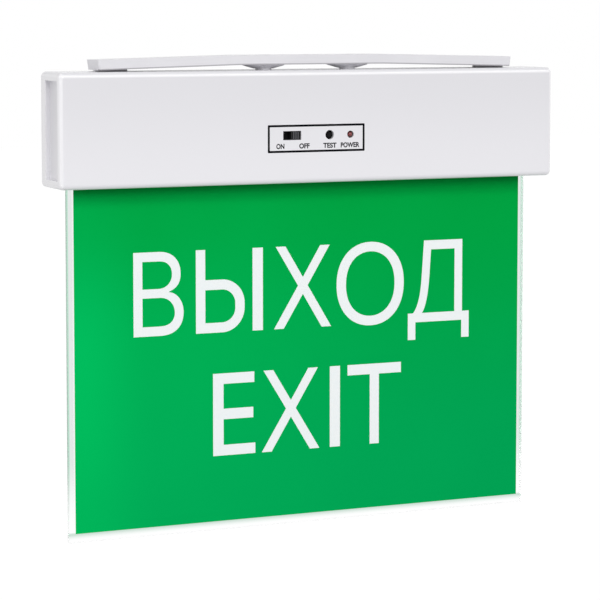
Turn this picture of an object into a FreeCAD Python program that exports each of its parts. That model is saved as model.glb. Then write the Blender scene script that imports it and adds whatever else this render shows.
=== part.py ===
import FreeCAD, Part
import math
import os
import re

import Sketcher

# Ceiling-mounted emergency exit light: a slim white housing that hangs from an arched bracket and
# holds an edge-lit acrylic panel with a green sign film.
# Frame: +X to the right seen from the front, -Y is the front, +Z is up. The origin is the ceiling
# plane, in the middle of the bracket's flat top. All sizes are millimetres.

SIZES = {
    # housing
    "housing_width": 310.0,
    "housing_depth": 32.0,
    "housing_height": 65.0,
    "wall": 2.2,
    "edge_round": 3.0,
    "cover_thick": 2.0,
    "cover_lip": 1.6,
    "cover_gap": 0.2,
    "cover_rib_root": 0.5,
    "cover_rib_lift": 1.0,
    "sink_gap": 0.3,
    "end_recess_depth": 2.5,
    "end_recess_front": 12.3,
    "end_recess_rear": 8.5,
    "end_recess_rim": 4.8,
    # bracket
    "bracket_height": 8.6,
    "bracket_half_length": 130.3,
    "bracket_depth": 20.0,
    "bracket_flat": 45.0,
    "bracket_drop": 2.0,
    "flange_height": 5.5,
    "bracket_web": 1.8,
    "bracket_side": 1.6,
    "seat_spacing": 53.0,
    "seat_half_length": 12.4,
    "seat_half_width": 8.3,
    "seat_shoulder": 6.0,
    "seat_depth": 7.8,
    "seat_slope_angle": 74.0,
    "seat_foot_radius": 4.7,
    "seat_pad_radius": 4.3,
    "seat_floor": 2.0,
    "end_draft": 0.8,
    "end_sag": 0.2,
    "end_corner_round": 1.5,
    "ceiling_screw_radius": 2.25,
    "hook_inner": 110.0,
    "hook_outer": 129.0,
    "hook_thick": 3.0,
    "hook_barb": 1.2,
    "hook_barb_root": 0.2,
    "hook_barb_height": 2.5,
    "hook_slot_gap": 0.5,
    "hook_catch_gap": 0.15,
    # light panel
    "panel_front": 1.2,
    "panel_thick": 3.0,
    "panel_width": 290.6,
    "panel_top": 58.0,
    "panel_bottom": 275.2,
    "film_thick": 0.2,
    "film_width": 283.0,
    "film_bottom": 269.9,
    "film_top": 60.0,
    "reflector_inset": 2.0,
    "panel_bevel": 0.3,
    "panel_hole_gap": 0.1,
    "slot_clearance": 0.4,
    # panel holder, light strip
    "holder_half_length": 146.0,
    "holder_cheek": 2.8,
    "holder_top": 54.0,
    "holder_roof": 1.2,
    "strip_pocket": 6.0,
    "ear_half_width": 6.0,
    "ear_thick": 2.0,
    "ear_top": 44.5,
    "ear_spacing": 240.0,
    "ear_level": 49.3,
    "panel_screw_pitch": 110.0,
    "panel_screw_level": 66.0,
    "strip_gap": 0.1,
    "lead_hole_x": 75.0,
    "lead_hole_radius": 1.4,
    "lead_radius": 1.1,
    "lead_lift": 2.5,
    "strip_length": 280.0,
    "strip_thick": 1.0,
    "led_pitch": 24.0,
    "led_length": 3.5,
    "led_width": 2.8,
    "led_thick": 0.8,
    # controls on the front
    "control_level": 46.0,
    "switch_middle": 15.25,
    "switch_slot_width": 11.3,
    "switch_slot_height": 5.2,
    "knob_width": 5.7,
    "knob_height": 4.6,
    "knob_gap": 0.3,
    "knob_sunk": 0.5,
    "knob_bevel": 0.2,
    "knob_root": 2.2,
    "switch_body_half_width": 8.2,
    "switch_body_half_height": 3.6,
    "switch_well_depth": 2.5,
    "switch_well_gap": 0.25,
    "ridge_pitch": 1.35,
    "ridge_groove": 0.65,
    "ridge_depth": 0.5,
    "test_middle": 8.3,
    "test_hole_radius": 2.7,
    "test_stem_radius": 1.8,
    "test_sunk": 0.6,
    "test_travel": 0.5,
    "test_stem_bevel": 0.4,
    "test_stem_gap": 0.1,
    "test_stem_root": 0.9,
    "test_case_half": 3.0,
    "test_case_height": 3.5,
    "test_bore_depth": 2.1,
    "lamp_middle": 21.5,
    "lamp_hole_radius": 2.1,
    "lamp_radius": 1.6,
    "lamp_proud": 0.3,
    "lamp_collar": 0.4,
    "lamp_collar_level": 1.4,
    "lamp_collar_thick": 1.0,
    # electronics
    "transformer_lift": 2.0,
    "fuse_left": -19.5,
    "fuse_level": 42.0,
    "fuse_length": 21.0,
    "fuse_cap_length": 5.0,
    "fuse_cap_radius": 2.6,
    "fuse_glass_radius": 2.3,
    "board_half_width": 60.0,
    "board_top": 14.0,
    "board_bottom": 52.0,
    "board_front": 7.4,
    "board_thick": 1.6,
    "board_screw_x": 57.0,
    "board_screw_high": 18.5,
    "board_screw_low": 47.5,
    "battery_left": 70.0,
    "battery_length": 46.0,
    "battery_top": 12.8,
    "cell_radius": 5.25,
    "clamp_thick": 1.8,
    "clamp_level": 28.5,
    "clamp_width": 10.0,
    "clamp_reach": 4.0,
    "clamp_end": 4.0,
    "terminal_left": 126.0,
    "terminal_length": 28.0,
    "terminal_top": 20.0,
    "terminal_height": 16.0,
    "terminal_depth": 11.5,
    "terminal_well_radius": 2.4,
    "terminal_well_depth": 3.0,
    "terminal_mouth_radius": 2.0,
    "terminal_mouth_depth": 4.0,
    "terminal_screw_radius": 2.0,
    "terminal_screw_height": 1.8,
    "cable_hole_x": 80.0,
    "cable_hole_level": 34.0,
    "cable_hole_radius": 6.0,
    "cable_bore_radius": 3.5,
    "grommet_flange": 1.5,
    "grommet_inside": 1.4,
    "grommet_outside": 1.2,
    "cover_screw_x": 143.0,
    "cover_screw_high": 18.0,
    "cover_screw_low": 46.0,
    # small screws
    "screw_radius": 1.4,
    "screw_head_radius": 2.7,
    "screw_head_height": 1.7,
    "screw_crown_height": 0.7,
    "screw_crown_radius": 1.9,
    "screw_hole_gap": 0.2,
    "pilot_gap": 0.05,
    "boss_radius": 3.2,
    "rib_thick": 1.5,
}

# x places of the ribs that carry the panel holder
RIB_PLACES = ("-130", "-78", "-26", "26", "78", "130")
LED_COUNT = 12
HEAD_SIDES = 12
SHAFT_SIDES = 8
LEAD_SIDES = 8
RIDGE_GROOVES = 4
POLES = 3
CELLS = 3
# across, up, radius and length of each round can on the board
CAPACITORS = (("-12", "-26", "5", "14"), ("4", "-24", "4", "12"), ("16", "-24", "3.15", "11"))

doc = FreeCAD.newDocument("exit_light")
sub_parts = []


# ---------------------------------------------------------------- sheet and formulas

def make_sheet():
    """Put every driving size in one spreadsheet, one alias to a row."""
    made = doc.addObject("Spreadsheet::Sheet", "Sizes")
    for row, (alias, size) in enumerate(SIZES.items(), start=1):
        made.set(f"A{row}", alias)
        made.set(f"B{row}", str(size))
        made.setAlias(f"B{row}", alias)
    doc.recompute()
    return made


sheet = make_sheet()


def formula(text):
    """Turn plain size names in a formula into references to the sheet."""
    return re.sub(r"[a-z][a-z_]+", lambda word: "Sizes." + word.group(0), text)


def number(text):
    """The present value of a formula."""
    found = sheet.evalExpression(formula(text))
    return float(getattr(found, "Value", found))


def bind(item, place, text):
    item.setExpression(place, formula(text))


# ---------------------------------------------------------------- sketches and features

def new_body(label):
    made = doc.addObject("PartDesign::Body", label)
    made.Label = label
    return made


def origin_plane(body, role):
    for item in body.Origin.OriginFeatures:
        if item.Role == role:
            return item
    raise ValueError(role)


def new_sketch(body, role, name, offset="0"):
    """A sketch on one of the body's own planes, moved along that plane's normal."""
    made = body.newObject("Sketcher::SketchObject", name)
    made.AttachmentSupport = [(origin_plane(body, role), "")]
    made.MapMode = "FlatFace"
    bind(made, "AttachmentOffset.Base.z", offset)
    return made


def fix_point(sketch, line, end, across, up):
    """Tie one end of a line to its two coordinates."""
    for kind, text in (("DistanceX", across), ("DistanceY", up)):
        index = sketch.addConstraint(
            Sketcher.Constraint(kind, -1, 1, line, end, number(text)))
        bind(sketch, f"Constraints[{index}]", text)


def polygon(sketch, points):
    """A closed outline of straight lines through points given as formulas."""
    places = [FreeCAD.Vector(number(across), number(up), 0) for across, up in points]
    first = sketch.GeometryCount
    for index, place in enumerate(places):
        after = places[(index + 1) % len(places)]
        sketch.addGeometry(Part.LineSegment(place, after))
    for index in range(len(points)):
        after = (index + 1) % len(points)
        sketch.addConstraint(
            Sketcher.Constraint("Coincident", first + index, 2, first + after, 1))
    for index, (across, up) in enumerate(points):
        fix_point(sketch, first + index, 1, across, up)


def rectangle(sketch, left, right, low, high):
    polygon(sketch, [(left, low), (right, low), (right, high), (left, high)])


def circle(sketch, across, up, radius):
    middle = FreeCAD.Vector(number(across), number(up), 0)
    index = sketch.addGeometry(
        Part.Circle(middle, FreeCAD.Vector(0, 0, 1), number(radius)))
    fix_point(sketch, index, 3, across, up)
    limit = sketch.addConstraint(Sketcher.Constraint("Radius", index, number(radius)))
    bind(sketch, f"Constraints[{limit}]", radius)


def many_sided(sketch, across, up, radius, sides):
    """A regular outline in the place of a circle that repeats often and is hardly seen."""
    turns = [2 * math.pi * index / sides for index in range(sides)]
    polygon(sketch, [(f"{across} + ({radius}) * ({math.cos(turn):.6f})",
                      f"{up} + ({radius}) * ({math.sin(turn):.6f})") for turn in turns])


def long_round(sketch, across, half_length, half_width):
    """A long outline with round ends, centred on the sketch's own cross line."""
    span = number(half_length) - number(half_width)
    radius = number(half_width)
    middle = number(across)
    first = sketch.GeometryCount
    for side, start in ((1, -math.pi / 2), (-1, math.pi / 2)):
        centre = FreeCAD.Vector(middle + side * span, 0, 0)
        ring = Part.Circle(centre, FreeCAD.Vector(0, 0, 1), radius)
        sketch.addGeometry(Part.ArcOfCircle(ring, start, start + math.pi))
        edge = FreeCAD.Vector(0, side * radius, 0)
        sketch.addGeometry(Part.LineSegment(centre + edge,
                                            centre + edge - FreeCAD.Vector(2 * side * span, 0, 0)))
    for index in range(4):
        sketch.addConstraint(Sketcher.Constraint(
            "Tangent", first + index, 2, first + (index + 1) % 4, 1))
    for arc, sign in ((first, "+"), (first + 2, "-")):
        fix_point(sketch, arc, 3, f"{across} {sign} ({half_length} - {half_width})", "0")
    limit = sketch.addConstraint(Sketcher.Constraint("Radius", first, radius))
    bind(sketch, f"Constraints[{limit}]", half_width)


def pad(body, sketch, name, length, backwards=False, taper_angle=None):
    made = body.newObject("PartDesign::Pad", name)
    made.Profile = sketch
    bind(made, "Length", length)
    if taper_angle:
        bind(made, "TaperAngle", taper_angle)
    made.Reversed = backwards
    return finished(body, made)


def pocket(body, sketch, name, length, backwards=False):
    """Cut a pocket, and make sure that it took something away."""
    before = body.Shape.Volume
    made = body.newObject("PartDesign::Pocket", name)
    made.Profile = sketch
    bind(made, "Length", length)
    made.Reversed = backwards
    finished(body, made)
    if body.Shape.Volume >= before - 0.01:
        raise ValueError(f"{name} cuts nothing")
    return made


def mirrored(body, features, name, role="YZ_Plane"):
    made = body.newObject("PartDesign::Mirrored", name)
    made.Originals = features
    made.MirrorPlane = (origin_plane(body, role), [""])
    return finished(body, made)


def finished(body, feature):
    body.Tip = feature
    doc.recompute()
    return feature


def edges_where(shape, test):
    """Names of the edges whose bounding box passes a test."""
    return [f"Edge{index}" for index, edge in enumerate(shape.Edges, start=1)
            if test(edge.BoundBox)]


def dress(body, kind, name, size, test):
    """Round or bevel the edges of a body that pass a test."""
    base = body.Tip
    made = body.newObject(f"PartDesign::{kind}", name)
    made.Base = (base, edges_where(base.Shape, test))
    bind(made, "Radius" if kind == "Fillet" else "Size", size)
    return finished(body, made)


def near(value, text):
    return abs(value - number(text)) < 0.05


# ---------------------------------------------------------------- plain solids

def block(name, left, right, front, rear, low, high):
    """A box between six planes."""
    made = doc.addObject("Part::Box", name)
    bind(made, "Length", f"({right}) - ({left})")
    bind(made, "Width", f"({rear}) - ({front})")
    bind(made, "Height", f"({high}) - ({low})")
    for place, text in (("x", left), ("y", front), ("z", low)):
        bind(made, f"Placement.Base.{place}", text)
    return made


TURNS = {
    "x": FreeCAD.Rotation(FreeCAD.Vector(0, 1, 0), 90),
    "y": FreeCAD.Rotation(FreeCAD.Vector(1, 0, 0), -90),
    "z": FreeCAD.Rotation(),
}


def stand(item, along, across, deep, up):
    """Turn a round solid along an axis and put its foot at a place."""
    item.Placement = FreeCAD.Placement(FreeCAD.Vector(0, 0, 0), TURNS[along])
    for place, text in (("x", across), ("y", deep), ("z", up)):
        bind(item, f"Placement.Base.{place}", text)
    return item


def rod(name, along, across, deep, up, radius, length):
    made = doc.addObject("Part::Cylinder", name)
    bind(made, "Radius", radius)
    bind(made, "Height", length)
    return stand(made, along, across, deep, up)


def prism(name, along, across, deep, up, radius, length, sides):
    """A regular prism in the place of a small rod that nothing shows."""
    made = doc.addObject("Part::Prism", name)
    made.Polygon = sides
    bind(made, "Circumradius", radius)
    bind(made, "Height", length)
    return stand(made, along, across, deep, up)


def taper(name, along, across, deep, up, foot, head, length):
    made = doc.addObject("Part::Cone", name)
    bind(made, "Radius1", foot)
    bind(made, "Radius2", head)
    bind(made, "Height", length)
    return stand(made, along, across, deep, up)


def joined(label, pieces):
    made = doc.addObject("Part::MultiFuse", label)
    made.Shapes = pieces
    return made


def less(label, base, tool):
    made = doc.addObject("Part::Cut", label)
    made.Base = base
    made.Tool = tool
    return made


def overlap(label, first, second):
    made = doc.addObject("Part::Common", label)
    made.Base = first
    made.Tool = second
    return made


def keep(item, label):
    """Name a finished sub-part after its piece."""
    item.Label = label
    sub_parts.append(item)
    return item


def screw_group(label, places, seat, shank, crowned=False):
    """Screws that point to the front, with their heads on a seat plane at depth `seat`.

    Heads that can be seen are round with a sloped crown. The others, and the shafts, are
    plain prisms: these small pieces repeat often, and a few flat faces are enough for them.
    """
    pieces = []
    for index, (across, up) in enumerate(places, start=1):
        name = f"{label}_{index}"
        if crowned:
            rim = "(screw_head_height - screw_crown_height)"
            pieces.append(rod(f"{name}_head", "y", across, seat, up, "screw_head_radius", rim))
            pieces.append(taper(f"{name}_crown", "y", across, f"{seat} + {rim}", up,
                                "screw_head_radius", "screw_crown_radius",
                                "screw_crown_height"))
        else:
            pieces.append(prism(f"{name}_head", "y", across, seat, up, "screw_head_radius",
                                "screw_head_height", HEAD_SIDES))
        pieces.append(prism(f"{name}_shaft", "y", across, f"({seat}) - ({shank})", up,
                            "screw_radius", f"({shank}) + screw_head_height / 3",
                            SHAFT_SIDES))
    return keep(joined(f"{label}_group", pieces), label)


# ---------------------------------------------------------------- housing

TOP = "-bracket_height"
BOTTOM = "-bracket_height - housing_height"
FRONT = "-housing_depth / 2"
REAR = "housing_depth / 2"
END = "housing_width / 2"
INNER_FRONT = "-housing_depth / 2 + wall"
INNER_END = "housing_width / 2 - end_recess_depth - wall"
COVER_SEAT = "housing_depth / 2 - wall"
BOARD_REAR = "-board_front + board_thick"
HOLDER_FRONT = "panel_front - film_thick - holder_cheek"
HOLDER_REAR = "panel_front + panel_thick + film_thick + holder_cheek"
FLOOR = "-bracket_height - housing_height + wall"
BATTERY_REAR = "-housing_depth / 2 + wall + 2 * cell_radius"


def post_places(across, levels):
    """Posts in left and right pairs, at one or more levels."""
    return [(f"{side}{across}", f"-{level}") for level in levels for side in ("-", "")]


BOARD_SCREWS = post_places("board_screw_x", ("board_screw_high", "board_screw_low"))
COVER_SCREWS = post_places("cover_screw_x", ("cover_screw_high", "cover_screw_low"))
EAR_SCREWS = post_places("ear_spacing / 2", ("ear_level",))
CLAMP_SCREWS = [("battery_left - clamp_reach", "-clamp_level"),
                ("battery_left + battery_length + clamp_reach", "-clamp_level")]
PANEL_SCREWS = [("-panel_screw_pitch", "-panel_screw_level"), ("0", "-panel_screw_level"),
                ("panel_screw_pitch", "-panel_screw_level")]


def front_housing():
    """The moulded housing: front, top, bottom and ends in one piece, open at the rear."""
    body = new_body("front_housing")
    outline = new_sketch(body, "XZ_Plane", "housing_outline", f"-({REAR})")
    rectangle(outline, f"-({END})", END, BOTTOM, TOP)
    pad(body, outline, "housing_block", "housing_depth")
    dress(body, "Fillet", "housing_rounding", "edge_round",
          lambda box: not (near(box.YMin, REAR) and near(box.YMax, REAR)))

    mouth = new_sketch(body, "XZ_Plane", "cover_rebate_outline", f"-({REAR})")
    rectangle(mouth, f"-({END}) + cover_lip", f"{END} - cover_lip",
              f"{BOTTOM} + cover_lip", f"{TOP} - cover_lip")
    pocket(body, mouth, "cover_rebate", "wall", backwards=True)
    hollow = new_sketch(body, "XZ_Plane", "hollow_outline", f"-({REAR})")
    rectangle(hollow, f"-({INNER_END})", INNER_END, FLOOR, f"{TOP} - wall")
    pocket(body, hollow, "hollow", "housing_depth - wall", backwards=True)

    end_panel = new_sketch(body, "YZ_Plane", "end_recess_outline", END)
    rectangle(end_panel, "-end_recess_front", "end_recess_rear",
              f"{BOTTOM} + end_recess_rim", f"{TOP} - end_recess_rim")
    recess = pocket(body, end_panel, "end_recess", "end_recess_depth")
    mirrored(body, [recess], "end_recesses")

    openings = new_sketch(body, "XZ_Plane", "control_openings_outline", f"-({FRONT})")
    rectangle(openings, "-switch_middle - switch_slot_width / 2",
              "-switch_middle + switch_slot_width / 2",
              "-control_level - switch_slot_height / 2",
              "-control_level + switch_slot_height / 2")
    circle(openings, "test_middle", "-control_level", "test_hole_radius")
    circle(openings, "lamp_middle", "-control_level", "lamp_hole_radius")
    pocket(body, openings, "control_openings", "wall")

    panel_slot = new_sketch(body, "XY_Plane", "panel_slot_outline", BOTTOM)
    rectangle(panel_slot, "-holder_half_length", "holder_half_length",
              "panel_front - film_thick - slot_clearance",
              "panel_front + panel_thick + film_thick + slot_clearance")
    pocket(body, panel_slot, "panel_slot", "wall", backwards=True)

    hook_slots = new_sketch(body, "XY_Plane", "hook_slots_outline", TOP)
    half_slot = "(hook_thick / 2 + hook_slot_gap)"
    rectangle(hook_slots, "hook_inner - hook_slot_gap", "hook_outer + hook_slot_gap",
              f"-{half_slot}", half_slot)
    slot = pocket(body, hook_slots, "hook_slot", "wall")
    mirrored(body, [slot], "hook_slots")

    add_posts(body, "board_posts", BOARD_SCREWS, "-board_front", "5")
    add_posts(body, "cover_posts", COVER_SCREWS, COVER_SEAT, "10")
    add_posts(body, "holder_posts", EAR_SCREWS, f"{HOLDER_REAR} - ear_thick", "10")
    add_posts(body, "clamp_posts", CLAMP_SCREWS, BATTERY_REAR, "9")
    add_ribs(body)
    keep(body, "front_housing")


def add_posts(body, name, places, seat, depth):
    """Screw posts that stand on the inside of the front wall, each with a pilot hole."""
    root = f"{INNER_FRONT} - wall / 4"
    posts = new_sketch(body, "XZ_Plane", f"{name}_outline", f"-({root})")
    for across, up in places:
        circle(posts, across, up, "boss_radius")
    pad(body, posts, name, f"({seat}) - ({root})", backwards=True)
    pilots = new_sketch(body, "XZ_Plane", f"{name}_pilot_outline", f"-({seat})")
    for across, up in places:
        many_sided(pilots, across, up, "screw_radius + pilot_gap", SHAFT_SIDES)
    pocket(body, pilots, f"{name}_pilots", depth, backwards=True)


def add_ribs(body):
    """Ribs between the front wall and the panel holder."""
    root = f"{INNER_FRONT} - wall / 4"
    ribs = new_sketch(body, "XZ_Plane", "holder_ribs_outline", f"-({root})")
    for place in RIB_PLACES:
        rectangle(ribs, f"{place} - rib_thick / 2", f"{place} + rib_thick / 2",
                  f"{FLOOR} - wall / 4", "-holder_top")
    pad(body, ribs, "holder_ribs", f"({HOLDER_FRONT}) - ({root})", backwards=True)


def rear_cover():
    """The flat cover set into the rear of the housing, with ribs that press on the holder."""
    body = new_body("rear_cover")
    plate = new_sketch(body, "XZ_Plane", "cover_outline", f"-({COVER_SEAT} + cover_thick)")
    rectangle(plate, f"-({END}) + cover_lip + cover_gap", f"{END} - cover_lip - cover_gap",
              f"{BOTTOM} + cover_lip + cover_gap", f"{TOP} - cover_lip - cover_gap")
    pad(body, plate, "cover_plate", "cover_thick")
    dress(body, "Fillet", "cover_corners", "edge_round / 2",
          lambda box: box.YLength > 1 and box.XLength < 0.01 and box.ZLength < 0.01)
    ribs = new_sketch(body, "XZ_Plane", "cover_ribs_outline",
                      f"-({COVER_SEAT} + cover_rib_root)")
    for place in RIB_PLACES:
        rectangle(ribs, f"{place} - rib_thick / 2", f"{place} + rib_thick / 2",
                  f"{FLOOR} + cover_rib_lift", "-holder_top")
    pad(body, ribs, "cover_ribs", f"{COVER_SEAT} + cover_rib_root - ({HOLDER_REAR})")
    holes = new_sketch(body, "XZ_Plane", "cover_holes_outline",
                       f"-({COVER_SEAT} + cover_thick)")
    for across, up in COVER_SCREWS:
        many_sided(holes, across, up, "screw_radius + screw_hole_gap", SHAFT_SIDES)
    circle(holes, "-cable_hole_x", "-cable_hole_level", "cable_hole_radius")
    pocket(body, holes, "cover_holes", "cover_thick", backwards=True)
    sinks = new_sketch(body, "XZ_Plane", "cover_sinks_outline",
                       f"-({COVER_SEAT} + cover_thick)")
    for across, up in COVER_SCREWS:
        circle(sinks, across, up, "screw_head_radius + sink_gap")
    pocket(body, sinks, "cover_sinks", "cover_thick / 2", backwards=True)
    keep(body, "rear_cover")
    screw_group("rear_cover_screws", COVER_SCREWS, f"{COVER_SEAT} + cover_thick / 2", "8",
                crowned=True)


def cable_grommet():
    """A rubber ring with a groove that grips the edge of the cable hole."""
    body = new_body("cable_grommet")
    middle = "-cable_hole_x"
    profile = new_sketch(body, "XY_Plane", "grommet_profile", "-cable_hole_level")
    inner = f"{middle} + cable_bore_radius"
    groove = f"{middle} + cable_hole_radius"
    flange = f"{middle} + cable_hole_radius + grommet_flange"
    outside = f"{COVER_SEAT} + cover_thick"
    polygon(profile, [
        (inner, f"{COVER_SEAT} - grommet_inside"),
        (flange, f"{COVER_SEAT} - grommet_inside"),
        (flange, COVER_SEAT),
        (groove, COVER_SEAT),
        (groove, outside),
        (flange, outside),
        (flange, f"{outside} + grommet_outside / 2"),
        (groove, f"{outside} + grommet_outside"),
        (inner, f"{outside} + grommet_outside"),
    ])
    line = profile.addGeometry(Part.LineSegment(
        FreeCAD.Vector(number(middle), 0, 0), FreeCAD.Vector(number(middle), 20, 0)), True)
    fix_point(profile, line, 1, middle, "0")
    fix_point(profile, line, 2, middle, "20")
    ring = body.newObject("PartDesign::Revolution", "grommet_ring")
    ring.Profile = profile
    ring.ReferenceAxis = (profile, ["Axis0"])
    ring.Angle = 360
    finished(body, ring)
    keep(body, "cable_grommet")


# ---------------------------------------------------------------- ceiling bracket

def ceiling_bracket():
    """An arched channel with two dished screw seats and a hook at each end."""
    body = new_body("bracket_channel")
    half = "bracket_depth / 2"
    low_end = "-bracket_drop - flange_height - end_sag"
    arch = new_sketch(body, "XZ_Plane", "arch_outline", f"-{half}")
    polygon(arch, [
        ("-bracket_flat", "0"), ("bracket_flat", "0"),
        ("bracket_half_length", "-bracket_drop"),
        ("bracket_half_length - end_draft", low_end),
        ("bracket_flat", "-flange_height"), ("-bracket_flat", "-flange_height"),
        ("-bracket_half_length + end_draft", low_end),
        ("-bracket_half_length", "-bracket_drop"),
    ])
    pad(body, arch, "arch", "bracket_depth")
    dress(body, "Fillet", "end_corners", "end_corner_round",
          lambda box: box.YLength < 0.01 and box.XMin * box.XMax > 0
          and min(abs(box.XMin), abs(box.XMax)) > number("bracket_half_length - 5"))
    hollow = new_sketch(body, "XZ_Plane", "channel_outline", f"-({half} - bracket_side)")
    inner_end = "bracket_half_length - bracket_side - end_draft"
    polygon(hollow, [
        ("-bracket_flat", "-bracket_web"), ("bracket_flat", "-bracket_web"),
        (inner_end, "-bracket_drop - bracket_web"), (inner_end, "-bracket_height"),
        (f"-({inner_end})", "-bracket_height"),
        (f"-({inner_end})", "-bracket_drop - bracket_web"),
    ])
    pocket(body, hollow, "channel", "bracket_depth - 2 * bracket_side", backwards=True)
    add_seats(body)
    add_hooks(body)
    keep(body, "ceiling_bracket")


def add_seats(body):
    """Two long dishes under the web. Each slopes in to a round foot on the housing.

    From above, a round well takes the head of a ceiling screw and its shank passes through
    the foot.
    """
    across = "seat_spacing / 2"
    dish = new_sketch(body, "XY_Plane", "seat_dish_outline", "-seat_shoulder")
    long_round(dish, across, "seat_half_length", "seat_half_width")
    upper = pad(body, dish, "seat_dish", "seat_shoulder - bracket_web / 2")
    slope = new_sketch(body, "XY_Plane", "seat_slope_outline", "-seat_shoulder")
    long_round(slope, across, "seat_half_length", "seat_half_width")
    lower = pad(body, slope, "seat_slope", "seat_depth - seat_shoulder", backwards=True,
                taper_angle="-seat_slope_angle")
    foot = new_sketch(body, "XY_Plane", "seat_foot_outline", "-bracket_height")
    circle(foot, across, "0", "seat_foot_radius")
    base = pad(body, foot, "seat_foot", "bracket_height - seat_shoulder")
    mirrored(body, [upper, lower, base], "seats")
    wells = new_sketch(body, "XY_Plane", "seat_wells_outline")
    holes = new_sketch(body, "XY_Plane", "seat_holes_outline")
    for side in ("-", ""):
        circle(wells, f"{side}{across}", "0", "seat_pad_radius")
        circle(holes, f"{side}{across}", "0", "ceiling_screw_radius")
    pocket(body, wells, "seat_wells", "bracket_height - seat_floor")
    pocket(body, holes, "seat_holes", "bracket_height + 1")


def add_hooks(body):
    """A blade at each end that passes through the housing's top, barbed on both sides."""
    catch = "-bracket_height - wall - hook_catch_gap"
    tip = f"{catch} - hook_barb_height"
    blade = new_sketch(body, "XZ_Plane", "hook_outline", "-hook_thick / 2")
    rectangle(blade, "hook_inner", "hook_outer", tip, "-bracket_drop")
    hook = pad(body, blade, "hook", "hook_thick")
    barb = new_sketch(body, "YZ_Plane", "barb_outline", "hook_inner")
    for side in ("", "-"):
        polygon(barb, [
            (f"{side}(hook_thick / 2 - hook_barb_root)", catch),
            (f"{side}(hook_thick / 2 + hook_barb)", catch),
            (f"{side}(hook_thick / 2 - hook_barb_root)", tip),
        ])
    barbs = pad(body, barb, "barb", "hook_outer - hook_inner")
    mirrored(body, [hook, barbs], "hooks")


# ---------------------------------------------------------------- light panel

def sheet_with_holes(label, rear, thick, half_width, low, high):
    """A flat sheet in the panel's plane, drilled for the three panel screws."""
    body = new_body(label)
    outline = new_sketch(body, "XZ_Plane", f"{label}_outline", f"-({rear})")
    rectangle(outline, f"-{half_width}", half_width, low, high)
    for across, up in PANEL_SCREWS:
        many_sided(outline, across, up, "screw_radius + panel_hole_gap", SHAFT_SIDES)
    pad(body, outline, f"{label}_sheet", thick)
    return body


def light_panel():
    panel_rear = "panel_front + panel_thick"
    panel = sheet_with_holes("acrylic_panel", panel_rear, "panel_thick", "panel_width / 2",
                             "-panel_bottom", "-panel_top")
    dress(panel, "Chamfer", "panel_edge_bevel", "panel_bevel",
          lambda box: (near(box.ZMin, "-panel_bottom") and near(box.ZMax, "-panel_bottom")
                       and box.XLength > 1)
          or (box.ZLength > 100 and box.XLength < 0.01))
    keep(panel, "acrylic_panel")
    keep(sheet_with_holes("sign_film", "panel_front", "film_thick", "film_width / 2",
                          "-film_bottom", "-film_top"), "sign_film")
    keep(sheet_with_holes("reflector_film", f"{panel_rear} + film_thick", "film_thick",
                          "(film_width / 2 - reflector_inset)",
                          "-film_bottom + reflector_inset", "-film_top"), "reflector_film")


def panel_holder():
    """An extruded rail: the slot grips the panel, the pocket above it holds the light strip."""
    body = new_body("panel_holder")
    slot_front = "panel_front - film_thick"
    slot_rear = "panel_front + panel_thick + film_thick"
    middle = "(panel_front + panel_thick / 2)"
    pocket_front = f"{middle} - strip_pocket / 2"
    pocket_rear = f"{middle} + strip_pocket / 2"
    roof = "-holder_top - holder_roof"
    rail = new_sketch(body, "YZ_Plane", "rail_outline", "-holder_half_length")
    polygon(rail, [
        (HOLDER_FRONT, FLOOR), (slot_front, FLOOR), (slot_front, "-panel_top"),
        (pocket_front, "-panel_top"), (pocket_front, roof), (pocket_rear, roof),
        (pocket_rear, "-panel_top"), (slot_rear, "-panel_top"), (slot_rear, FLOOR),
        (HOLDER_REAR, FLOOR), (HOLDER_REAR, "-holder_top"), (HOLDER_FRONT, "-holder_top"),
    ])
    pad(body, rail, "rail", "2 * holder_half_length")
    ears = new_sketch(body, "XZ_Plane", "ears_outline", f"-({HOLDER_REAR})")
    for side in ("-", ""):
        across = f"{side}ear_spacing / 2"
        rectangle(ears, f"{across} - ear_half_width", f"{across} + ear_half_width",
                  "-holder_top - holder_roof / 2", "-ear_top")
    pad(body, ears, "ears", "ear_thick")
    dress(body, "Fillet", "ear_corners", "2",
          lambda box: near(box.ZMin, "-ear_top") and box.YLength > 1 and box.XLength < 0.01)
    ear_holes = new_sketch(body, "XZ_Plane", "ear_holes_outline", f"-({HOLDER_REAR})")
    for across, up in EAR_SCREWS:
        many_sided(ear_holes, across, up, "screw_radius + screw_hole_gap", SHAFT_SIDES)
    pocket(body, ear_holes, "ear_holes", "ear_thick", backwards=True)
    cheek_holes = new_sketch(body, "XZ_Plane", "cheek_holes_outline", f"-({HOLDER_REAR})")
    for across, up in PANEL_SCREWS:
        many_sided(cheek_holes, across, up, "screw_radius + pilot_gap", SHAFT_SIDES)
    pocket(body, cheek_holes, "cheek_holes", f"{HOLDER_REAR} - ({HOLDER_FRONT})",
           backwards=True)
    lead_hole = new_sketch(body, "XY_Plane", "lead_hole_outline", "-holder_top")
    circle(lead_hole, "-lead_hole_x", middle, "lead_hole_radius")
    pocket(body, lead_hole, "lead_hole", "holder_roof")
    keep(body, "panel_holder")
    screw_group("holder_screws", EAR_SCREWS, HOLDER_REAR, "9")
    screw_group("panel_screws", PANEL_SCREWS, HOLDER_REAR,
                f"{HOLDER_REAR} - ({HOLDER_FRONT})")


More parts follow.
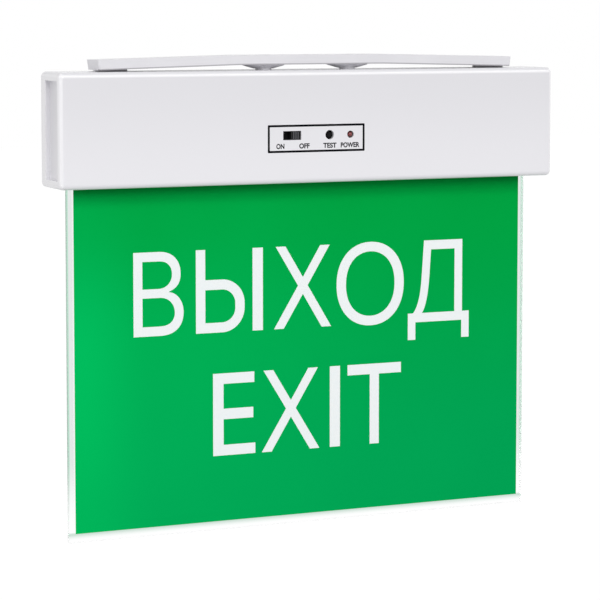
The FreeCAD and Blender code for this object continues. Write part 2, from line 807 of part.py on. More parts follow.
def light_strip():
    """The narrow board over the panel's top edge, with its row of LEDs facing down."""
    middle = "(panel_front + panel_thick / 2)"
    top = "-holder_top - holder_roof"
    keep(block("led_board_strip", "-strip_length / 2", "strip_length / 2",
               f"{middle} - strip_pocket / 2 + strip_gap",
               f"{middle} + strip_pocket / 2 - strip_gap",
               f"{top} - strip_thick", top), "led_board")
    for index in range(LED_COUNT):
        across = f"({index} - {(LED_COUNT - 1) / 2}) * led_pitch"
        keep(block(f"led_{index + 1:02d}_chip",
                   f"{across} - led_length / 2", f"{across} + led_length / 2",
                   f"{middle} - led_width / 2", f"{middle} + led_width / 2",
                   f"{top} - strip_thick - led_thick", f"{top} - strip_thick"),
             f"led_{index + 1:02d}")


# ---------------------------------------------------------------- controls

def slide_switch():
    """The switch's body behind the front wall, and the ridged knob that slides in it."""
    body = new_body("slide_switch_body")
    shell = new_sketch(body, "XZ_Plane", "switch_shell_outline", "board_front")
    rectangle(shell, "-switch_middle - switch_body_half_width",
              "-switch_middle + switch_body_half_width",
              "-control_level - switch_body_half_height",
              "-control_level + switch_body_half_height")
    pad(body, shell, "switch_shell", f"-board_front - ({INNER_FRONT})")
    well = new_sketch(body, "XZ_Plane", "switch_well_outline", f"-({INNER_FRONT})")
    well_half_width = "(switch_slot_width / 2 + switch_well_gap)"
    well_half_height = "(switch_slot_height / 2 + switch_well_gap)"
    rectangle(well, f"-switch_middle - {well_half_width}", f"-switch_middle + {well_half_width}",
              f"-control_level - {well_half_height}", f"-control_level + {well_half_height}")
    pocket(body, well, "switch_well", "switch_well_depth")
    keep(body, "slide_switch_body")

    knob = new_body("slide_switch_knob")
    right = "-switch_middle + switch_slot_width / 2 - knob_gap"
    face = f"{FRONT} + knob_sunk"
    stem = new_sketch(knob, "XZ_Plane", "knob_outline", f"-({face})")
    rectangle(stem, f"{right} - knob_width", right,
              "-control_level - knob_height / 2", "-control_level + knob_height / 2")
    pad(knob, stem, "knob_stem", f"{INNER_FRONT} + knob_root - ({face})", backwards=True)
    dress(knob, "Chamfer", "knob_bevels", "knob_bevel",
          lambda box: near(box.YMin, face) and near(box.YMax, face))
    grooves = new_sketch(knob, "XZ_Plane", "knob_grooves_outline", f"-({face})")
    for index in range(RIDGE_GROOVES):
        step = index - (RIDGE_GROOVES - 1) / 2
        across = f"{right} - knob_width / 2 + ({step}) * ridge_pitch"
        rectangle(grooves, f"{across} - ridge_groove / 2", f"{across} + ridge_groove / 2",
                  "-control_level - knob_height", "-control_level + knob_height")
    pocket(knob, grooves, "knob_grooves", "ridge_depth")
    keep(knob, "slide_switch_knob")


def test_switch():
    """A square push switch on the board, and the round stem that a fingertip presses."""
    case = block("test_switch_case",
                 "test_middle - test_case_half", "test_middle + test_case_half",
                 "-board_front - test_case_height", "-board_front",
                 "-control_level - test_case_half", "-control_level + test_case_half")
    bore = rod("test_switch_bore", "y", "test_middle", "-board_front - test_case_height",
               "-control_level", "test_stem_radius + test_stem_gap", "test_bore_depth")
    keep(less("test_switch_cut", case, bore), "test_switch_body")
    stem = new_body("test_button")
    profile = new_sketch(stem, "XZ_Plane", "stem_outline", f"-({FRONT} + test_sunk)")
    circle(profile, "test_middle", "-control_level", "test_stem_radius")
    pad(stem, profile, "stem",
        f"-board_front - test_case_height + test_stem_root - ({FRONT} + test_sunk)",
        backwards=True)
    dress(stem, "Chamfer", "stem_bevel", "test_stem_bevel",
          lambda box: near(box.YMax, f"{FRONT} + test_sunk"))
    keep(stem, "test_button")


def power_lamp():
    """The round indicator lamp: a domed lens on a collar, standing on the board."""
    dome_middle = f"{FRONT} - lamp_proud + lamp_radius"
    lens = rod("lamp_lens", "y", "lamp_middle", dome_middle, "-control_level",
               "lamp_radius", f"-board_front - ({dome_middle})")
    dome = doc.addObject("Part::Sphere", "lamp_dome")
    bind(dome, "Radius", "lamp_radius")
    stand(dome, "z", "lamp_middle", dome_middle, "-control_level")
    collar = rod("lamp_collar", "y", "lamp_middle", f"{INNER_FRONT} + lamp_collar_level",
                 "-control_level", "lamp_radius + lamp_collar", "lamp_collar_thick")
    keep(joined("lamp_pieces", [lens, dome, collar]), "power_lamp")


# ---------------------------------------------------------------- electronics

def main_board():
    """The circuit board on its four posts, with what is soldered to its rear."""
    plate = block("board_plate", "-board_half_width", "board_half_width",
                  "-board_front", BOARD_REAR, "-board_bottom", "-board_top")
    holes = [prism(f"board_hole_{index}", "y", across, "-board_front - 1", up,
                   "screw_radius + screw_hole_gap", "4", SHAFT_SIDES)
             for index, (across, up) in enumerate(BOARD_SCREWS)]
    keep(less("board_cut", plate, joined("board_holes", holes)), "main_board")
    screw_group("board_screws", BOARD_SCREWS, BOARD_REAR, "5")

    core = standing_block("transformer_core", -50, -26, -44, -24, 13, "transformer_lift")
    bobbin = standing_block("transformer_bobbin", -46, -30, -47, -21, 16.5)
    keep(joined("transformer_pieces", [core, bobbin]), "transformer")
    for index, (across, up, radius, length) in enumerate(CAPACITORS, start=1):
        keep(rod(f"capacitor_{index}_can", "y", across, BOARD_REAR, up, radius, length),
             f"capacitor_{index}")
    level = f"{BOARD_REAR} + fuse_cap_radius"
    tube = ("fuse_left", level, "-fuse_level", "fuse_glass_radius", "fuse_length")
    caps = [rod(f"fuse_cap_{index}", "x", across, level, "-fuse_level",
                "fuse_cap_radius", "fuse_cap_length")
            for index, across in enumerate(("fuse_left",
                                            "fuse_left + fuse_length - fuse_cap_length"))]
    keep(joined("fuse_pieces", [rod("fuse_glass", "x", *tube)] + caps), "fuse")
    keep(standing_block("driver_chip_case", 8, 18, -40, -36, 1.8), "driver_chip")
    keep(standing_block("battery_connector_case", 36, 44, -30, -24, 5), "battery_connector")
    keep(standing_block("led_connector_case", -58, -52, -40, -32, 5), "led_connector")
    keep(standing_block("supply_connector_case", -58, -52, -30, -22, 5), "supply_connector")


def standing_block(name, left, right, low, high, height, lift="0"):
    """A case on the rear of the board, placed by plain numbers, its height from the board."""
    foot = f"{BOARD_REAR} + {lift}"
    return block(name, str(left), str(right), foot, f"{foot} + {height}", str(low), str(high))


def battery():
    """Three cells in one sealed wrap, held down by a clamp across the pack."""
    cells = []
    for index in range(CELLS):
        cells.append(rod(f"cell_{index}", "x", "battery_left", f"{INNER_FRONT} + cell_radius",
                         f"-battery_top - cell_radius * {2 * index + 1}", "cell_radius",
                         "battery_length"))
    wrap = block("battery_wrap", "battery_left", "battery_left + battery_length",
                 INNER_FRONT, BATTERY_REAR,
                 f"-battery_top - cell_radius * {2 * CELLS - 1}", "-battery_top - cell_radius")
    keep(joined("battery_pieces", cells + [wrap]), "battery_pack")

    clamp = new_body("battery_clamp")
    bar = new_sketch(clamp, "XZ_Plane", "clamp_outline", f"-({BATTERY_REAR} + clamp_thick)")
    rectangle(bar, "battery_left - clamp_reach - clamp_end",
              "battery_left + battery_length + clamp_reach + clamp_end",
              "-clamp_level - clamp_width / 2", "-clamp_level + clamp_width / 2")
    for across, up in CLAMP_SCREWS:
        many_sided(bar, across, up, "screw_radius + screw_hole_gap", SHAFT_SIDES)
    pad(clamp, bar, "clamp_bar", "clamp_thick")
    keep(clamp, "battery_clamp")
    screw_group("clamp_screws", CLAMP_SCREWS, f"{BATTERY_REAR} + clamp_thick", "8")


def terminal_block():
    """A three-pole screw terminal for the supply cable, on the inside of the front wall."""
    body = new_body("terminal_block")
    rear = f"{INNER_FRONT} + terminal_depth"
    middle = "-terminal_top - terminal_height / 2"
    base = new_sketch(body, "XZ_Plane", "terminal_outline", f"-({rear})")
    rectangle(base, "-terminal_left", "-terminal_left + terminal_length",
              "-terminal_top - terminal_height", "-terminal_top")
    pad(body, base, "terminal_case", "terminal_depth")
    wells = new_sketch(body, "XZ_Plane", "terminal_wells_outline", f"-({rear})")
    mouths = new_sketch(body, "XY_Plane", "terminal_mouths_outline", "-terminal_top")
    heads = []
    for index in range(POLES):
        across = f"-terminal_left + terminal_length * {index + 0.5} / {POLES}"
        many_sided(wells, across, middle, "terminal_well_radius", HEAD_SIDES)
        many_sided(mouths, across, f"{INNER_FRONT} + terminal_depth / 3",
                   "terminal_mouth_radius", HEAD_SIDES)
        heads.append(prism(f"terminal_screw_{index}", "y", across,
                           f"{rear} - terminal_well_depth", middle,
                           "terminal_screw_radius", "terminal_screw_height", HEAD_SIDES))
    pocket(body, wells, "terminal_wells", "terminal_well_depth", backwards=True)
    pocket(body, mouths, "terminal_mouths", "terminal_mouth_depth")
    keep(body, "terminal_block")
    keep(joined("terminal_screws_group", heads), "terminal_screws")


# ---------------------------------------------------------------- leads

LEAD_SETBACK = 0.45


def lead(label, route):
    """A lead along straight runs, with a tangent arc at every turn and a few flat sides."""
    radius = number("lead_radius")
    points = [FreeCAD.Vector(*[number(text) for text in place]) for place in route]
    edges = []
    radii = []
    start = points[0]
    for before, corner, after in zip(points, points[1:], points[2:]):
        inward = (corner - before).normalize()
        outward = (after - corner).normalize()
        setback = LEAD_SETBACK * min((corner - before).Length, (after - corner).Length)
        half_turn = inward.getAngle(outward) / 2
        bend = setback / math.tan(half_turn)
        entry = corner - inward * setback
        leave = corner + outward * setback
        middle = corner + (outward - inward).normalize() * (bend / math.cos(half_turn) - bend)
        edges.append(Part.LineSegment(start, entry).toShape())
        edges.append(Part.Arc(entry, middle, leave).toShape())
        start = leave
        radii.append(round(bend, 1))
    edges.append(Part.LineSegment(start, points[-1]).toShape())
    print(f"{label}: bend radii {radii} mm")
    path = Part.Wire(edges)
    ring = Part.Circle(points[0], points[1] - points[0], radius).toShape()
    section = Part.makePolygon(ring.discretize(LEAD_SIDES + 1))
    made = doc.addObject("Part::Feature", f"{label}_tube")
    made.Shape = path.makePipeShell([section], True, True)
    expected = path.Length * Part.Face(section).Area
    if abs(made.Shape.Volume / expected - 1) > 0.02:
        raise ValueError(f"{label} has the wrong volume")
    return keep(made, label)


def leads():
    """The leads between the supply terminals, the board, the battery and the light strip."""
    over = f"{BOARD_REAR} + lead_lift"
    low = f"{INNER_FRONT} + terminal_depth / 2"
    strip_middle = "panel_front + panel_thick / 2"
    lead("supply_lead", [
        ("-terminal_left + terminal_length", low, "-27"),
        ("-84", low, "-27"),
        ("-72", over, "-26"),
        ("-58", over, "-26"),
    ])
    lead("led_lead", [
        ("-58", over, "-36"),
        ("-67", over, "-36"),
        ("-lead_hole_x", strip_middle, "-43"),
        ("-lead_hole_x", strip_middle, "-holder_top - holder_roof"),
    ])
    lead("battery_lead", [
        ("battery_left", over, "-39"),
        ("60", over, "-39"),
        ("52", over, "-27"),
        ("44", over, "-27"),
    ])


def write_parts():
    doc.recompute()
    for item in doc.Objects:
        if "Invalid" in item.State or "Error" in item.State:
            raise ValueError(f"{item.Name} failed: {item.State}")
    os.makedirs("parts", exist_ok=True)
    for item in sub_parts:
        shape = item.Shape
        if shape.isNull() or not shape.isValid():
            raise ValueError(f"{item.Label} has no valid shape")
        shape.exportStep(f"parts/{item.Label}.step")


front_housing()
rear_cover()
cable_grommet()
ceiling_bracket()
light_panel()
panel_holder()
light_strip()
slide_switch()
test_switch()
power_lamp()
main_board()
battery()
terminal_block()
leads()
write_parts()
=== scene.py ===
# %% [markdown]
# # Dressing an emergency exit light
# The light hangs from a ceiling. An arched bracket carries a slim white housing, and the housing
# holds a clear acrylic panel with a green film on its face. The solids come from the CAD frame, so
# this lesson gives them their finishes, adds the printed words, the switch label and the screws on
# the back, and sets up a white studio. Everything is in metres, in the frame of the CAD model.

import math

import bpy
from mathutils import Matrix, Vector


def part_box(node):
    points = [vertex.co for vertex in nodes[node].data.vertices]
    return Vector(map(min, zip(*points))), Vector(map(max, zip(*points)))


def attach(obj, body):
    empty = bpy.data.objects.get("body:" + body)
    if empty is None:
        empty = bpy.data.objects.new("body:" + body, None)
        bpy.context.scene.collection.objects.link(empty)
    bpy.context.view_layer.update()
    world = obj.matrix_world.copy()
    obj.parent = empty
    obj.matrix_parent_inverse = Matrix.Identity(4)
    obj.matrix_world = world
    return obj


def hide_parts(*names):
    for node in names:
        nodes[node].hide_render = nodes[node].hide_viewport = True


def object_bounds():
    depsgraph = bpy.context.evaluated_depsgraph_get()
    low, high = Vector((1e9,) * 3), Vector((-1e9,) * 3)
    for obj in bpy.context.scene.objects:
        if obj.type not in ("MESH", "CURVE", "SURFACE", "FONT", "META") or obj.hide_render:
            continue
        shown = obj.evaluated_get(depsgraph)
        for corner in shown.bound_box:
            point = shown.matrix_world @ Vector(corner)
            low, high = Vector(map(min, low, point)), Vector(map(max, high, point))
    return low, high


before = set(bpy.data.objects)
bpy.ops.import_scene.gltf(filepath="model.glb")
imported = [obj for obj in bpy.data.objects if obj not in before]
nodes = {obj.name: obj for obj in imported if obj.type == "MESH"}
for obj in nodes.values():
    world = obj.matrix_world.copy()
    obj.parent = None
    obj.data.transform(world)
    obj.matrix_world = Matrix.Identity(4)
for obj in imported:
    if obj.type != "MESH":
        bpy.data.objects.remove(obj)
cad_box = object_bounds()
MM = 0.001
print("solids in the frame:", len(nodes))

# %% [markdown]
# ## How a finish is written
# A finish is a shader with a few nodes that vary its colour, gloss and relief. Wiring nodes by hand
# hides the idea, so a small class wraps a socket and lets it take part in sums: `1 - mask` adds a
# Math node that subtracts. Colours and vectors never go through Math nodes, because those keep one
# number only and the colour would turn grey.


# %% A socket that takes part in sums
class Wire:
    """The output socket of a node. Each operator adds a Math node and gives its output."""

    def __init__(self, finish, socket):
        self.finish = finish
        self.socket = socket

    def maths(self, operation, *values):
        return self.finish.maths_of(operation, *values)

    def __add__(self, other):
        return self.maths("ADD", self, other)

    def __radd__(self, other):
        return self.maths("ADD", other, self)

    def __sub__(self, other):
        return self.maths("SUBTRACT", self, other)

    def __rsub__(self, other):
        return self.maths("SUBTRACT", other, self)

    def __mul__(self, other):
        return self.maths("MULTIPLY", self, other)

    def __rmul__(self, other):
        return self.maths("MULTIPLY", other, self)


# %% A finish and the one method that adds its nodes
class Finish:
    """A material: one Principled shader, and the nodes that feed it."""

    def __init__(self, name, **constants):
        self.material = bpy.data.materials.new(name)
        self.material.use_nodes = True
        self.tree = self.material.node_tree
        self.shader = self.tree.nodes["Principled BSDF"]
        for socket, value in constants.items():
            self.shader.inputs[socket.replace("_", " ")].default_value = value
        self.place = self.node("ShaderNodeTexCoord", output="Object")

    def feed(self, socket, value):
        if isinstance(value, Wire):
            self.tree.links.new(value.socket, socket)
        else:
            socket.default_value = value

    def node(self, kind, settings=None, inputs=None, output=0):
        """Adds a node: its settings first, then the values or links of its sockets."""
        made = self.tree.nodes.new(kind)
        for name, value in (settings or {}).items():
            setattr(made, name, value)
        for name, value in (inputs or {}).items():
            self.feed(made.inputs[name], value)
        return Wire(self, made.outputs[output])

    def give(self, socket, value):
        """Feeds one socket of the shader."""
        self.feed(self.shader.inputs[socket], value)

    def noise(self, size, detail=2.0):
        """Cloudy noise from 0 to 1, whose patches are about `size` metres across."""
        return self.node(
            "ShaderNodeTexNoise",
            None,
            {"Vector": self.place, "Scale": 1 / size, "Detail": detail},
        )

    def between(self, first, second, mask):
        """One colour where the mask is 0 and the other where it is 1."""
        return self.node(
            "ShaderNodeMix", {"data_type": "RGBA"}, {0: mask, 6: first, 7: second}, output=2
        )

    def along(self, axis):
        """The place along one axis, in metres."""
        return self.node("ShaderNodeSeparateXYZ", None, {0: self.place}, output="XYZ".index(axis))

    def maths_of(self, operation, *values):
        """A Math node of any operation."""
        return self.node("ShaderNodeMath", {"operation": operation}, dict(enumerate(values)))

    def off_centre(self, axis):
        """The distance from the middle of the light along one axis, in metres."""
        return self.maths_of("ABSOLUTE", self.along(axis))

    def rise(self, value, low, high):
        """A soft step: 0 up to the low value, 1 from the high one."""
        return self.node(
            "ShaderNodeMapRange",
            {"interpolation_type": "SMOOTHSTEP"},
            {0: value, 1: low, 2: high},
        )

    def relief(self, height, depth):
        """Bumps of that depth in metres, from a height between 0 and 1."""
        bumps = self.node("ShaderNodeBump", None, {"Height": height, "Distance": depth})
        self.give("Normal", bumps)


def paint(red, green, blue):
    """A screen colour, 0 to 255 a channel, as the linear colour a shader takes."""

    def linear(value):
        value /= 255
        return value / 12.92 if value <= 0.04045 else ((value + 0.055) / 1.055) ** 2.4

    return (linear(red), linear(green), linear(blue), 1.0)


finishes = {}
housing_low, housing_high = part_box("front_housing")
print("the finish tools are ready")

# %% [markdown]
# ## Moulded white plastic
# The housing and its cover are injection moulded in white plastic, a cool white. A painted shade
# makes the colour a little darker towards the top of the housing. A mould is spark eroded, so the
# plastic has a fine grain that breaks up reflections. The grain is noise in the relief at about
# half a millimetre, and slower noise shifts the gloss and the colour a little, as handling and flow
# in the mould do. The lamps alone leave the rounded edges and the rims of the ends duller than they
# should look. A mask made from the place of each edge stands in for that light as a painted
# highlight: it gives them a clear coat and a paler white.


# %% Moulded plastic
def moulded_plastic(name, shade, top_shade, roughness, grain, depth):
    """Plastic with a fine mould grain. The second colour is a painted shade that it takes towards
    the top.

    The grain is the size of the specks and the depth that of their relief, both in metres.
    """
    finish = Finish(name, IOR=1.5)
    clouds = finish.noise(50 * MM, detail=3.0)
    height = finish.along("Z")
    upward = finish.rise(height, housing_low.z, housing_high.z)
    # Painted shade: the colour turns darker towards the top of the housing.
    body = finish.between(shade, top_shade, 0.85 * upward + 0.15 * clouds)
    outward = finish.off_centre("X")
    forward = finish.off_centre("Y")
    # The edges are rounded by 3 mm, so the steps below lie within about that of each face.
    near_face = finish.rise(forward, housing_high.y - 2.4 * MM, housing_high.y - 1.2 * MM)
    end_edge = finish.rise(outward, housing_high.x - 2.7 * MM, housing_high.x - 1.8 * MM)
    top_edge = finish.rise(height, housing_high.z - 3.4 * MM, housing_high.z - 2.6 * MM)
    past_top = finish.rise(height, housing_high.z - 1.8 * MM, housing_high.z - 1.1 * MM)
    corner = finish.maths_of("MAXIMUM", near_face * end_edge, near_face * (top_edge - past_top))
    end_rim = finish.rise(outward, housing_high.x - 0.8 * MM, housing_high.x - 0.2 * MM)
    # Painted highlight: the rounded edges and end rims get a paler white and a clear coat.
    painted_edge_highlight = finish.maths_of("MAXIMUM", corner, 0.85 * end_rim)
    finish.give("Base Color", finish.between(body, paint(250, 249, 252), painted_edge_highlight))
    finish.give("Coat Weight", 0.5 * painted_edge_highlight)
    specks = finish.noise(grain, detail=1.0)
    finish.give("Roughness", roughness + 0.08 * specks + 0.05 * clouds)
    finish.relief(specks, depth)
    finishes[name] = finish.material


# The second colour is the painted shade towards the top.
moulded_plastic(
    "housing_white", paint(242, 241, 245), paint(231, 230, 234), 0.18, 0.6 * MM, 0.008 * MM
)
print("housing_white nodes:", len(finishes["housing_white"].node_tree.nodes))

# %% [markdown]
# ## Painted bracket
# The bracket is sprayed white, a shade warmer and smoother than the housing. Sprayed paint levels
# out into soft waves a few millimetres wide, called orange peel, so its relief is broader. The
# lamps leave the lower edge of each flange too pale, so a mask stands in for its shade. That edge
# follows the arch: level in the middle, then falling towards the ends.

# %% Painted bracket
FLANGE_HEIGHT = 5.5 * MM
FLAT_HALF = 45.0 * MM
ARCH_HALF = 130.3 * MM
ARCH_FALL = 2.2 * MM
ARCH_SLOPE = ARCH_FALL / (ARCH_HALF - FLAT_HALF)

painted = Finish("bracket_white", IOR=1.5)
peel = painted.noise(2.5 * MM, detail=1.0)
patches = painted.noise(30 * MM)
patchy = painted.rise(patches, 0.3, 0.7)
white = painted.between(paint(233, 232, 236), paint(229, 228, 232), patchy)
fall = ARCH_SLOPE * painted.maths_of("MAXIMUM", painted.off_centre("X") - FLAT_HALF, 0.0)
above_edge = painted.along("Z") + FLANGE_HEIGHT + fall
on_flange = painted.rise(painted.off_centre("Y"), 8.4 * MM, 8.6 * MM)
edge_shade = on_flange * (1 - painted.rise(above_edge, 0.3 * MM, 1.0 * MM))
painted.give("Base Color", painted.between(white, paint(172, 170, 175), edge_shade))
painted.give("Roughness", 0.3 + 0.1 * patches)
painted.relief(peel, 0.02 * MM)
finishes["bracket_white"] = painted.material
print("bracket_white nodes:", len(painted.tree.nodes))

# %% [markdown]
# ## Clear acrylic
# The panel is cast acrylic, 3 mm thick. Light from the strip inside the housing runs down it, so
# its faces are polished. A transmitting shader bends the view through its margins and edges as the
# real sheet does, and faint polishing marks vary the roughness. Refraction alone draws hard dark
# outlines round so thin a sheet, so Alpha lets part of the view pass straight through, and the
# sheet is most solid where the painted light and shade lie. The colour has three masks of painted
# light and shade: a painted mint light along the side edges, a painted grey shade in the margin
# beside the film, and a painted green shade that the film casts on the sheet just below it. The
# painted light and shade at the sides fade towards the foot.

# %% Clear acrylic
sheet_low, sheet_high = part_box("acrylic_panel")
film_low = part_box("sign_film")[0]
acrylic = Finish("clear_acrylic", IOR=1.49, Transmission_Weight=1.0)
acrylic.give("Roughness", 0.01 + 0.02 * acrylic.noise(4 * MM))
across = acrylic.off_centre("X")
height = acrylic.along("Z")
at_side = acrylic.rise(across, sheet_high.x - 0.9 * MM, sheet_high.x - 0.2 * MM)
beside_film = acrylic.rise(across, -film_low.x, 0.3 * MM - film_low.x)
lifted = acrylic.rise(height, sheet_low.z + 2 * MM, sheet_low.z + 50 * MM)
below_film = 1 - acrylic.rise(height, film_low.z, film_low.z + 0.2 * MM)
under_film = below_film * acrylic.rise(height, film_low.z - 4.5 * MM, film_low.z)
# Painted shade and light: grey in the margin beside the film, green just under the film, and mint
# along the side edges.
margin = acrylic.between(paint(253, 254, 254), paint(212, 218, 216), beside_film * lifted)
shaded = acrylic.between(margin, paint(146, 190, 166), 0.9 * under_film)
acrylic.give("Base Color", acrylic.between(shaded, paint(70, 196, 132), at_side * lifted))
acrylic.give("Alpha", 0.3 + 0.35 * acrylic.maths_of("MAXIMUM", lifted, under_film))
finishes["clear_acrylic"] = acrylic.material
print("clear_acrylic nodes:", len(acrylic.tree.nodes))

# %% [markdown]
# ## Printed green film
# The green is a translucent vinyl film. Its ink is even, but the light on it isn't. Slow masks
# along the width and height stand in for what the lamps here don't give, and move the green
# between close shades: brightest down the left side, cooler towards the foot and deepest in the
# few millimetres under the housing. Heights run down from the ceiling, where Z is 0. Fine noise
# gives the ink its tooth.

# %% Printed green film
FILM_SIDE = 140 * MM

film = Finish("film_green", IOR=1.45, Specular_IOR_Level=0.01)
flow = film.noise(90 * MM)
height = film.along("Z")
across = film.along("X")
beyond_edge = film.rise(across, -FILM_SIDE, -90 * MM)
to_the_right = film.rise(across, -FILM_SIDE, FILM_SIDE)
to_the_left = 1 - (0.55 * beyond_edge + 0.45 * to_the_right)
down = 1 - film.rise(height, -170 * MM, -90 * MM)
cooler = 1 - film.rise(height, -250 * MM, -80 * MM)
at_the_foot = 1 - film.rise(height, -265 * MM, -200 * MM)
bright = film.node(
    "ShaderNodeMath",
    {"operation": "ADD", "use_clamp": True},
    {0: to_the_left * (0.3 + 0.7 * down - 0.3 * at_the_foot), 1: 0.3 * flow - 0.14},
)
plain = film.between(paint(0, 170, 69), paint(0, 171, 88), cooler)
green = film.between(plain, paint(0, 197, 97), bright)
under_housing = film.rise(height, -80 * MM, -75 * MM)
film.give("Base Color", film.between(green, paint(0, 132, 52), under_housing))
tooth = film.noise(0.8 * MM, detail=1.0)
film.give("Roughness", 0.38 + 0.1 * tooth)
film.relief(tooth, 0.004 * MM)
finishes["film_green"] = film.material
print("film_green nodes:", len(film.tree.nodes))


# %% [markdown]
# ## Inks and plain finishes
# The remaining finishes are smaller. One function makes them all: a base colour, a second colour
# mixed in by noise, a roughness that follows the same noise, and a shallow relief. Metals only
# change the Metallic value, and parts inside the closed housing get the same care in a plain form.


# %% Small finishes
def simple_finish(name, shade, second, roughness, grain, depth, metallic=0.0, **constants):
    """Two shades mixed by specks. `grain` is their size and `depth` their relief, in metres."""
    finish = Finish(name, Metallic=metallic, **constants)
    specks = finish.noise(grain)
    finish.give("Base Color", finish.between(shade, second, finish.rise(specks, 0.3, 0.7)))
    finish.give("Roughness", roughness + 0.12 * specks)
    finish.relief(specks, depth)
    finishes[name] = finish.material


simple_finish("film_white", paint(240, 240, 240), paint(234, 235, 236), 0.45, 2 * MM, 0.004 * MM)
simple_finish("ink_white", paint(251, 255, 255), paint(248, 254, 255), 0.42, 2 * MM, 0.003 * MM)
simple_finish(
    "ink_black",
    paint(14, 13, 18),
    paint(20, 19, 25),
    0.5,
    0.5 * MM,
    0.002 * MM,
    Specular_IOR_Level=0.02,
)
simple_finish(
    "switch_black",
    paint(9, 9, 11),
    paint(15, 15, 17),
    0.4,
    0.3 * MM,
    0.01 * MM,
    Specular_IOR_Level=0.1,
)
simple_finish("rubber_black", paint(30, 30, 31), paint(44, 44, 45), 0.6, 0.5 * MM, 0.02 * MM)
simple_finish("lead_grey", paint(150, 151, 153), paint(138, 139, 141), 0.45, 1 * MM, 0.01 * MM)
simple_finish("nylon_white", paint(232, 229, 218), paint(224, 221, 209), 0.4, 1 * MM, 0.01 * MM)
simple_finish("board_white", paint(238, 238, 235), paint(230, 230, 226), 0.35, 2 * MM, 0.005 * MM)
simple_finish("board_green", paint(24, 92, 52), paint(16, 70, 40), 0.3, 3 * MM, 0.03 * MM)
simple_finish("led_yellow", paint(240, 206, 84), paint(232, 190, 62), 0.3, 1 * MM, 0.01 * MM)
simple_finish("core_dark", paint(52, 50, 48), paint(66, 62, 58), 0.5, 0.6 * MM, 0.03 * MM)
simple_finish("wrap_blue", paint(38, 84, 160), paint(30, 70, 140), 0.3, 6 * MM, 0.02 * MM)
simple_finish(
    "screw_steel", paint(196, 197, 199), paint(170, 172, 175), 0.24, 0.6 * MM, 0.006 * MM, 1.0
)
simple_finish(
    "holder_aluminium", paint(204, 205, 207), paint(190, 191, 194), 0.34, 0.8 * MM, 0.01 * MM, 1.0
)
simple_finish(
    "can_aluminium", paint(190, 192, 194), paint(176, 178, 181), 0.28, 0.8 * MM, 0.01 * MM, 1.0
)
simple_finish(
    "fuse_metal", paint(206, 207, 206), paint(188, 189, 189), 0.25, 0.8 * MM, 0.006 * MM, 1.0
)
simple_finish(
    "lamp_red",
    paint(128, 12, 16),
    paint(70, 4, 8),
    0.14,
    1.2 * MM,
    0.01 * MM,
    Coat_Weight=0.6,
    Coat_Roughness=0.05,
)
print("finishes made:", len(finishes))

# %% [markdown]
# ## Ridged knob
# The crests of the knob's ridges catch the light. A painted highlight makes them grey, and the
# grooves between them stay dark, so that the ridges show on so small a piece. The depth behind the
# knob's face tells crest from groove, and the painted highlight covers only the middle of the knob.

# %% The knob's finish
knob_low, knob_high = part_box("slide_switch_knob")
knob = Finish("knob_grey", IOR=1.5, Specular_IOR_Level=0.3)
crest = 1 - knob.rise(knob.along("Y"), knob_low.y + 0.05 * MM, knob_low.y + 0.35 * MM)
knob_middle = (knob_low.x + knob_high.x) / 2
off_middle = knob.maths_of("ABSOLUTE", knob.along("X") - knob_middle)
# Painted highlight: the crests in the middle of the knob are painted grey.
painted_crest_highlight = crest * (1 - knob.rise(off_middle, 1.7 * MM, 2.3 * MM))
knob_specks = knob.noise(0.3 * MM)
knob.give("Base Color", knob.between(paint(24, 24, 26), paint(82, 82, 86), painted_crest_highlight))
knob.give("Roughness", 0.34 + 0.12 * knob_specks)
knob.relief(knob_specks, 0.01 * MM)
finishes["knob_grey"] = knob.material
print("knob_grey nodes:", len(knob.tree.nodes))

# %% [markdown]
# ## Giving the solids their finishes
# Each solid came with a material slot named in its record. The slot keeps its name, and the finish
# of that name takes its place, so nothing about the solid itself changes.

# %% Put the finishes on the solids
dressed = 0
for solid in nodes.values():
    for place in solid.material_slots:
        name = place.material.name.split(".")[0]
        place.material = finishes[name]
        dressed += 1
print("slots dressed:", dressed)


# %% [markdown]
# ## Printed words
# A word on the film is a layer of ink, so it is made as a very thin slab that lies on the face.
# Blender's text object has plain letters in many scripts. Each letter is made a mesh first, then
# stood upright, stretched to the size it has on the sign and set in its place, because an applied
# place keeps the finished piece at the origin like every solid of the frame.


# %% Helpers for printed letters
LETTER_STEPS = 10


def nothing_selected():
    if bpy.context.mode != "OBJECT":
        bpy.ops.object.mode_set(mode="OBJECT")
    bpy.ops.object.select_all(action="DESELECT")


def reach(piece, axis):
    """The lowest and highest place of a piece's mesh along an axis."""
    places = [corner.co[axis] for corner in piece.data.vertices]
    return min(places), max(places)


def printed(text, left, right, low, high, face, thick, weight=0.0):
    """Letters as a slab of ink facing the front: `face` is the surface they lie on."""
    nothing_selected()
    bpy.ops.object.text_add()
    letters = bpy.context.object
    letters.data.body = text
    letters.data.resolution_u = LETTER_STEPS
    letters.data.offset = weight
    letters.data.extrude = 0.5
    bpy.ops.object.convert(target="MESH")
    letters.rotation_euler = (math.radians(90), 0, 0)
    bpy.ops.object.transform_apply(location=False, rotation=True, scale=False)
    x_low, x_high = reach(letters, 0)
    z_low, z_high = reach(letters, 2)
    letters.scale = ((right - left) / (x_high - x_low), thick, (high - low) / (z_high - z_low))
    letters.location = (left - x_low * letters.scale.x, face, low - z_low * letters.scale.z)
    bpy.ops.object.transform_apply(location=True, rotation=False, scale=True)
    return letters


